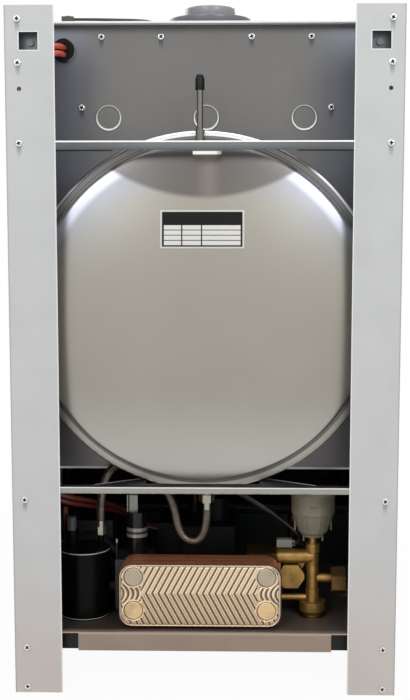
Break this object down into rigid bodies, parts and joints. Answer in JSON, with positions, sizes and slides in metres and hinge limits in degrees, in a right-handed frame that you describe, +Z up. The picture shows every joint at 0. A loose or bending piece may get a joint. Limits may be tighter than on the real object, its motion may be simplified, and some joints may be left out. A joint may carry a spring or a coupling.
{
  "type": "wall-hung gas boiler",
  "caption": "Wall-hung gas boiler with painted side frame, sealed chamber, flat round expansion vessel, coaxial flue collar and hydraulic groups on a bottom tray.",
  "frame": {"origin": "centre of the bottom edge of the frame's rear flanges, on the wall plane", "axes": "+X to the right seen from the front, +Y into the wall, +Z up"},
  "size_m": [0.4, 0.3432, 0.74],
  "materials": {
    "painted_steel": "semi-gloss powder coat",
    "galvanised_steel": "dull galvanised",
    "bright_steel": "bright zinc plate",
    "vessel_lacquer": "satin lacquer",
    "label": "printed foil, left blank",
    "black_rubber": "matte",
    "black_plastic": "moulded, slightly glossy",
    "grey_plastic": "moulded",
    "red_plastic": "moulded",
    "off_white_plastic": "moulded",
    "white_plastic": "moulded",
    "needle": "black",
    "button": "moulded",
    "board": "lacquered laminate",
    "braid": "stainless braid",
    "brass": "as cast and turned",
    "copper": "copper, slightly tarnished",
    "stainless": "pressed stainless",
    "cast_aluminium": "die cast",
    "pump_paint": "dark paint",
    "rotor": "machined",
    "ceramic_board": "vacuum-formed fibre board",
    "ceramic": "glazed ceramic",
    "sight_glass": "clear",
    "silicone": "silicone sleeve"
  },
  "bodies": {
    "casing": {"air_socket": "painted_steel", "back_panel": "galvanised_steel", "bottom_tray": "galvanised_steel", "burner": "galvanised_steel", "cable_grommet": "black_rubber", "chamber_lid": "galvanised_steel", "chamber_shell": "galvanised_steel", "connection_stubs": "brass", "copper_pipes": "copper", "diverter_motor": "off_white_plastic", "electrodes": "ceramic", "exchanger_end_plate": "stainless", "exchanger_plate_pack": "copper", "fan_housing": "galvanised_steel", "fan_motor": "cast_aluminium", "firebox": "galvanised_steel", "firebox_boards": "ceramic_board", "flexible_hose": "braid", "flow_group": "brass", "flue_collar": "painted_steel", "flue_hood": "galvanised_steel", "flue_pipe": "galvanised_steel", "gas_valve": "cast_aluminium", "hook_brackets": "galvanised_steel", "hose_nuts": "bright_steel", "ignition_leads": "silicone", "lower_bracket": "painted_steel", "pan_head_screws": "bright_steel", "pressure_switch": "bright_steel", "primary_exchanger": "copper", "pump_body": "black_plastic", "pump_motor": "pump_paint", "return_group": "black_plastic", "sensor_cable": "black_plastic", "side_panel_left": "painted_steel", "side_panel_right": "painted_steel", "sight_glass": "sight_glass", "top_lead": "bright_steel", "upper_bracket": "painted_steel", "vessel_air_stem": "vessel_lacquer", "vessel_clamp_ring": "galvanised_steel", "vessel_diaphragm": "black_rubber", "vessel_inner_shell": "vessel_lacquer", "vessel_outer_shell": "vessel_lacquer", "vessel_plate": "label"},
    "front_cover": {"front_cover": "painted_steel"},
    "control_panel": {"control_panel": "white_plastic", "circuit_board": "board", "pressure_gauge": "white_plastic"},
    "heating_knob": {"heating_knob": "white_plastic"},
    "water_knob": {"water_knob": "white_plastic"},
    "reset_button": {"reset_button": "button"},
    "gauge_needle": {"gauge_needle": "needle"},
    "fan_impeller": {"fan_impeller": "galvanised_steel"},
    "pump_rotor": {"pump_rotor": "rotor"},
    "diverter_spindle": {"diverter_spindle": "brass"},
    "air_vent_cap": {"air_vent_cap": "grey_plastic"},
    "filling_knob": {"filling_knob": "black_plastic"},
    "safety_valve_knob": {"safety_valve_knob": "red_plastic"},
    "vessel_valve_cap": {"vessel_valve_cap": "black_plastic"}
  },
  "joints": [
    {"name": "front_cover_slide", "type": "slide", "parent": "casing", "child": "front_cover", "axis": [0, -1, 0], "range_m": [0, 0.2]},
    {"name": "control_panel_tilt", "type": "hinge", "parent": "casing", "child": "control_panel", "pos_m": [0, -0.246, 0.014], "axis": [1, 0, 0], "range_deg": [0, 90]},
    {"name": "heating_knob_turn", "type": "hinge", "parent": "control_panel", "child": "heating_knob", "pos_m": [0.03, -0.325, 0.074], "axis": [0, -1, 0], "range_deg": [0, 270]},
    {"name": "water_knob_turn", "type": "hinge", "parent": "control_panel", "child": "water_knob", "pos_m": [0.086, -0.325, 0.074], "axis": [0, -1, 0], "range_deg": [0, 270]},
    {"name": "reset_button_press", "type": "slide", "parent": "control_panel", "child": "reset_button", "axis": [0, 1, 0], "range_m": [0, 0.003], "stiffness_N_per_m": 300, "springref_m": -0.002},
    {"name": "gauge_needle_turn", "type": "hinge", "parent": "control_panel", "child": "gauge_needle", "pos_m": [-0.104, -0.325, 0.074], "axis": [0, -1, 0], "range_deg": [-120, 120]},
    {"name": "fan_spin", "type": "hinge", "parent": "casing", "child": "fan_impeller", "pos_m": [-0.03, -0.2, 0.632], "axis": [0, 1, 0], "continuous": true},
    {"name": "pump_spin", "type": "hinge", "parent": "casing", "child": "pump_rotor", "pos_m": [0.133, -0.15, 0.104], "axis": [0, 1, 0], "continuous": true},
    {"name": "diverter_lift", "type": "slide", "parent": "casing", "child": "diverter_spindle", "axis": [0, 0, 1], "range_m": [0, 0.006]},
    {"name": "air_vent_cap_turn", "type": "hinge", "parent": "casing", "child": "air_vent_cap", "pos_m": [0.149, -0.075, 0.16], "axis": [0, 0, 1], "range_deg": [0, 360]},
    {"name": "filling_knob_turn", "type": "hinge", "parent": "casing", "child": "filling_knob", "pos_m": [-0.158, -0.083, 0.092], "axis": [0, -1, 0], "range_deg": [0, 360]},
    {"name": "safety_valve_turn", "type": "hinge", "parent": "casing", "child": "safety_valve_knob", "pos_m": [0.072, -0.114, 0.098], "axis": [0, -1, 0], "range_deg": [0, 90]},
    {"name": "valve_cap_lift", "type": "slide", "parent": "casing", "child": "vessel_valve_cap", "axis": [0, 0, 1], "range_m": [0, 0.016]}
  ]
}
